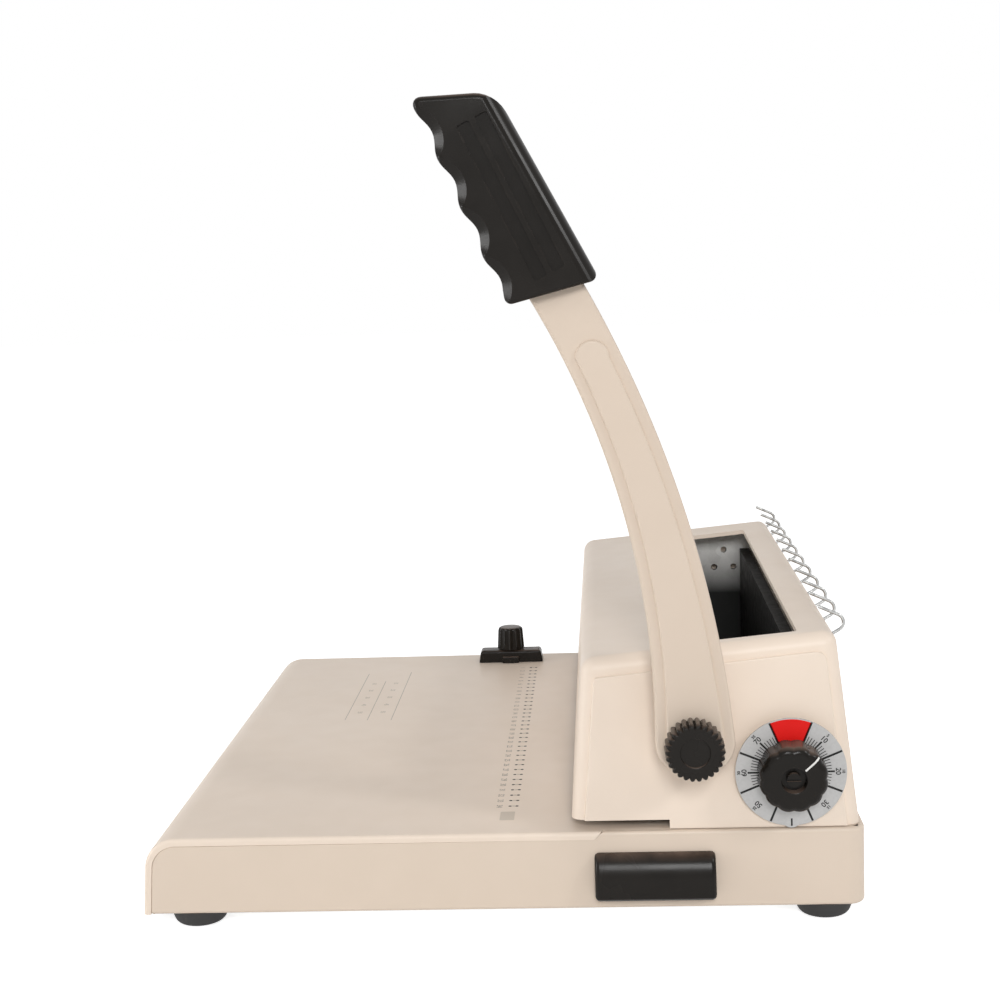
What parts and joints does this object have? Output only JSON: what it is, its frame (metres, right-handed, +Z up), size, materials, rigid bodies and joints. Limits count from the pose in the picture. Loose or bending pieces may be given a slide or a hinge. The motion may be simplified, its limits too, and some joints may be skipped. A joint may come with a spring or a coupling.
{
  "type": "book binding machine",
  "caption": "Desk-top book binding machine: a side lever drives a row of square punches and a wire-closing bar through one geared cross shaft, with a dial, chip drawer and edge guide.",
  "frame": {"origin": "on the surface that the feet stand on, below the middle of the overall width and depth", "axes": "+X to the lever side, +Y to the rear where the cover is, +Z up"},
  "size_m": [0.3872, 0.34, 0.3808],
  "materials": {
    "cream_paint": "satin cream paint",
    "black_plastic": "satin black moulded plastic",
    "foot_rubber": "matt black rubber",
    "zinc_steel": "zinc-plated sheet steel",
    "bright_steel": "bright plated steel",
    "dark_steel": "blackened steel",
    "bearing_bronze": "sintered bronze",
    "dial_face": "printed aluminium plate"
  },
  "bodies": {
    "root": {"base_tray": "cream_paint", "bottom_plate": "zinc_steel", "table_top": "cream_paint", "feet": "foot_rubber", "foot_screws": "bright_steel", "drawer_rails": "zinc_steel", "die_plate": "dark_steel", "stripper_plate": "zinc_steel", "paper_stop": "zinc_steel", "die_screws": "bright_steel", "left_frame": "zinc_steel", "right_frame": "zinc_steel", "frame_screws": "bright_steel", "tie_bars": "zinc_steel", "guide_posts": "bright_steel", "return_springs": "bright_steel", "shaft_bushes": "bearing_bronze", "rear_anvil": "dark_steel", "closer_floor": "dark_steel", "rack_guides": "dark_steel", "body_cover": "cream_paint", "cover_bracket": "zinc_steel", "cover_screws": "bright_steel", "hook_rail": "zinc_steel", "wire_hooks": "bright_steel", "dial_plate": "dial_face", "dial_bush": "bearing_bronze"},
    "lever": {"lever_arm": "cream_paint", "lever_grip": "black_plastic", "drive_shaft": "bright_steel", "pinions": "dark_steel", "shaft_collars": "dark_steel"},
    "clamp": {"clamp_knob": "black_plastic"},
    "press": {"press_bar": "dark_steel", "punch_retainer": "zinc_steel", "retainer_screws": "bright_steel", "punches": "bright_steel", "press_racks": "dark_steel"},
    "closer": {"closing_bar": "dark_steel", "closer_racks": "dark_steel", "stop_pin": "bright_steel"},
    "dial": {"dial_knob": "black_plastic", "dial_spindle": "bright_steel", "stop_cam": "dark_steel", "dial_screw": "dark_steel"},
    "drawer": {"chip_tray": "dark_steel", "drawer_pull": "black_plastic", "pull_screws": "bright_steel"},
    "guide": {"guide_bar": "black_plastic", "guide_stud": "bright_steel", "guide_nut": "zinc_steel"},
    "guide_clamp": {"guide_knob": "black_plastic"}
  },
  "joints": [
    {"name": "lever_swing", "type": "hinge", "parent": "root", "child": "lever", "pos_m": [0, 0.091, 0.09], "axis": [1, 0, 0], "range_deg": [0, 70], "stiffness_Nm_per_rad": 2, "springref_deg": -45.84},
    {"name": "clamp_turn", "type": "hinge", "parent": "lever", "child": "clamp", "pos_m": [0.18, 0.091, 0.09], "axis": [1, 0, 0], "continuous": true},
    {"name": "press_slide", "type": "slide", "parent": "root", "child": "press", "axis": [0, 0, -1], "range_m": [0, 0.01467], "deforming": ["return_springs"]},
    {"name": "closer_slide", "type": "slide", "parent": "root", "child": "closer", "axis": [0, 1, 0], "range_m": [0, 0.01467]},
    {"name": "dial_turn", "type": "hinge", "parent": "root", "child": "dial", "pos_m": [0.16, 0.136, 0.072], "axis": [1, 0, 0], "range_deg": [-270, 45]},
    {"name": "drawer_slide", "type": "slide", "parent": "root", "child": "drawer", "axis": [1, 0, 0], "range_m": [0, 0.28]},
    {"name": "guide_slide", "type": "slide", "parent": "root", "child": "guide", "axis": [1, 0, 0], "range_m": [-0.005, 0.005]},
    {"name": "guide_knob_turn", "type": "hinge", "parent": "guide", "child": "guide_clamp", "pos_m": [-0.17456, -0.01, 0.06], "axis": [0, 0, 1], "continuous": true}
  ],
  "couplings": [
    {"joint": "press_slide", "follows": "lever_swing", "m_per_rad": 0.012},
    {"joint": "closer_slide", "follows": "lever_swing", "m_per_rad": 0.012}
  ]
}
